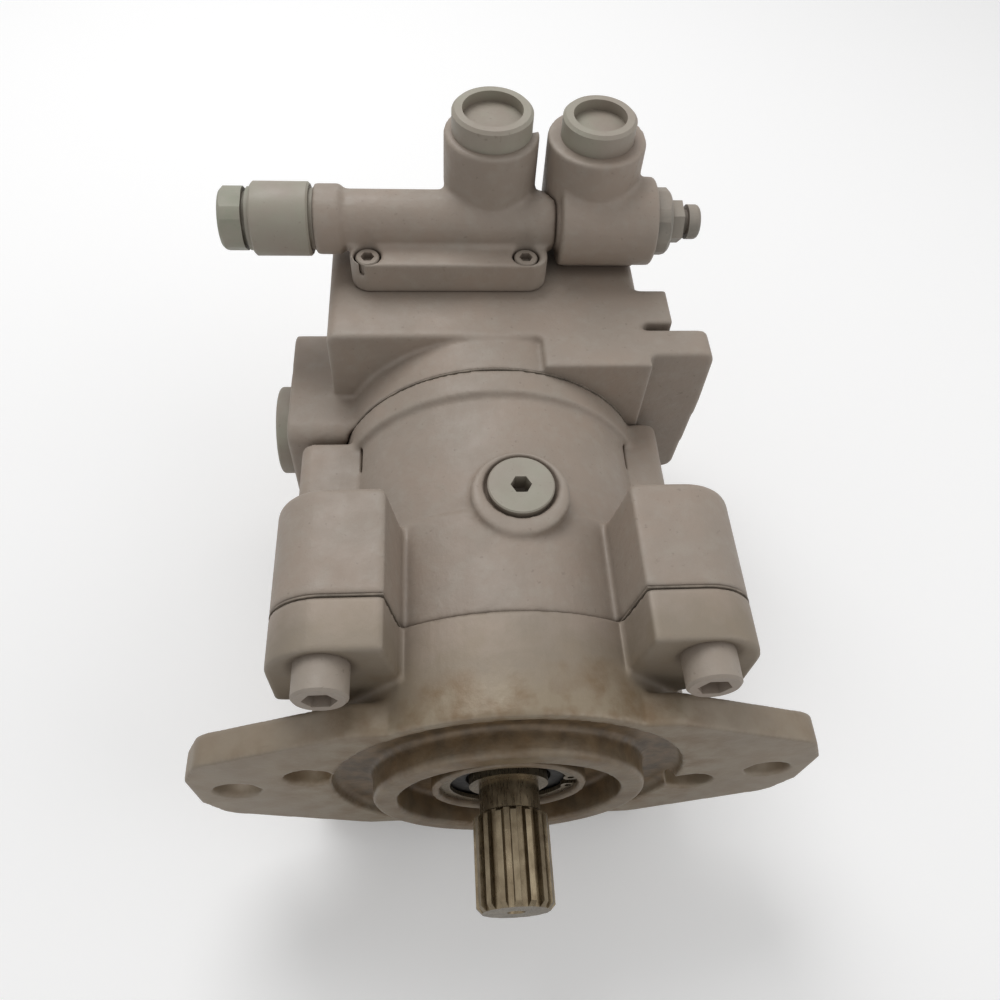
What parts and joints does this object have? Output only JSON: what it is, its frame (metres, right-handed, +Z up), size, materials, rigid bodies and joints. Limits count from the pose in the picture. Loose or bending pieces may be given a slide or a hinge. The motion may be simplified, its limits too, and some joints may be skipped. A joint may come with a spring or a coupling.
{
  "type": "axial piston pump",
  "caption": "Swash plate axial piston pump with splined shaft, pilot flange with ears, round case, port block and regulator with capped ports.",
  "frame": {"origin": "centre of the mounting face on the shaft axis", "axes": "-Y along the shaft out of the flange, +Z up towards the regulator, X across the flange ears"},
  "size_m": [0.234, 0.2916, 0.2155],
  "materials": {
    "cast_paint": "satin grey-beige paint over cast iron",
    "green_paint": "pale green-grey plating",
    "cap_plastic": "overpainted plastic transport cap",
    "bare_steel": "oiled machined steel",
    "bearing_steel": "ground bearing steel",
    "hardened_steel": "hardened and ground steel",
    "spring_steel": "spring steel",
    "bronze": "bearing bronze",
    "seal_rubber": "black nitrile rubber",
    "gasket": "compressed fibre gasket"
  },
  "bodies": {
    "casing": {"front_cover": "cast_paint", "housing": "cast_paint", "port_block": "cast_paint", "cover_gasket": "gasket", "block_gasket": "gasket", "front_bolts": "cast_paint", "rear_bolts": "bare_steel", "case_plug": "cast_paint", "shaft_seal": "seal_rubber", "seal_snap_ring": "bare_steel", "regulator_body": "cast_paint", "relief_body": "cast_paint", "left_collar": "cast_paint", "left_hex_plug": "green_paint", "right_bonnet": "cast_paint", "regulator_spring": "spring_steel", "regulator_screws": "cast_paint", "front_bearing_outer_race": "bearing_steel", "rear_bearing_sleeve": "bearing_steel", "swash_plate": "hardened_steel", "cradle_liners": "bronze", "valve_plate": "bronze", "control_piston": "hardened_steel", "bias_piston": "hardened_steel", "bias_spring": "spring_steel"},
    "rotating_group": {"drive_shaft": "bare_steel", "front_bearing_inner_race": "bearing_steel", "cylinder_barrel": "hardened_steel", "ball_guide": "hardened_steel", "barrel_spring": "spring_steel", "retainer_plate": "hardened_steel", "piston_1": "hardened_steel", "piston_2": "hardened_steel", "piston_3": "hardened_steel", "piston_4": "hardened_steel", "piston_5": "hardened_steel", "piston_6": "hardened_steel", "piston_7": "hardened_steel", "piston_8": "hardened_steel", "piston_9": "hardened_steel", "slipper_1": "bronze", "slipper_2": "bronze", "slipper_3": "bronze", "slipper_4": "bronze", "slipper_5": "bronze", "slipper_6": "bronze", "slipper_7": "bronze", "slipper_8": "bronze", "slipper_9": "bronze"},
    "front_roller_set": {"front_bearing_rollers": "bearing_steel"},
    "rear_needle_set": {"rear_bearing_needles": "bearing_steel"},
    "control_spool": {"spool": "hardened_steel"},
    "spring_seat": {"spring_seat": "hardened_steel"},
    "adjusting_screw": {"adjusting_screw": "bare_steel"},
    "lock_nut": {"lock_nut": "cast_paint"},
    "left_port_cap": {"left_port_cap": "cap_plastic"},
    "right_port_cap": {"right_port_cap": "cap_plastic"},
    "outlet_cap": {"outlet_cap": "cap_plastic"}
  },
  "joints": [
    {"name": "shaft_spin", "type": "hinge", "parent": "casing", "child": "rotating_group", "pos_m": [0, 0, 0], "axis": [0, -1, 0], "continuous": true},
    {"name": "front_rollers_orbit", "type": "hinge", "parent": "casing", "child": "front_roller_set", "pos_m": [0, 0, 0], "axis": [0, -1, 0], "continuous": true},
    {"name": "rear_needles_orbit", "type": "hinge", "parent": "casing", "child": "rear_needle_set", "pos_m": [0, 0, 0], "axis": [0, -1, 0], "continuous": true},
    {"name": "spool_slide", "type": "slide", "parent": "casing", "child": "control_spool", "axis": [1, 0, 0], "range_m": [-0.0025, 0.0025], "stiffness_N_per_m": 2000, "deforming": ["regulator_spring"]},
    {"name": "adjusting_screw_turn", "type": "hinge", "parent": "spring_seat", "child": "adjusting_screw", "pos_m": [0.088, 0.214, 0.088], "axis": [-1, 0, 0], "range_deg": [-144, 633.6]},
    {"name": "spring_seat_feed", "type": "slide", "parent": "casing", "child": "spring_seat", "axis": [-1, 0, 0], "range_m": [-0.0005, 0.0022], "deforming": ["regulator_spring"]},
    {"name": "lock_nut_turn", "type": "hinge", "parent": "casing", "child": "lock_nut", "pos_m": [0.08, 0.214, 0.088], "axis": [-1, 0, 0], "range_deg": [-360, 0]},
    {"name": "left_port_cap_pull", "type": "slide", "parent": "casing", "child": "left_port_cap", "axis": [0, 0, 1], "range_m": [0, 0.03]},
    {"name": "right_port_cap_pull", "type": "slide", "parent": "casing", "child": "right_port_cap", "axis": [0, 0, 1], "range_m": [0, 0.03]},
    {"name": "outlet_cap_pull", "type": "slide", "parent": "casing", "child": "outlet_cap", "axis": [-1, 0, 0], "range_m": [0, 0.03]}
  ],
  "couplings": [
    {"joint": "front_rollers_orbit", "follows": "shaft_spin", "ratio": 0.4523},
    {"joint": "rear_needles_orbit", "follows": "shaft_spin", "ratio": 0.4536},
    {"joint": "adjusting_screw_turn", "follows": "spring_seat_feed", "rad_per_m": 5026.5}
  ]
}
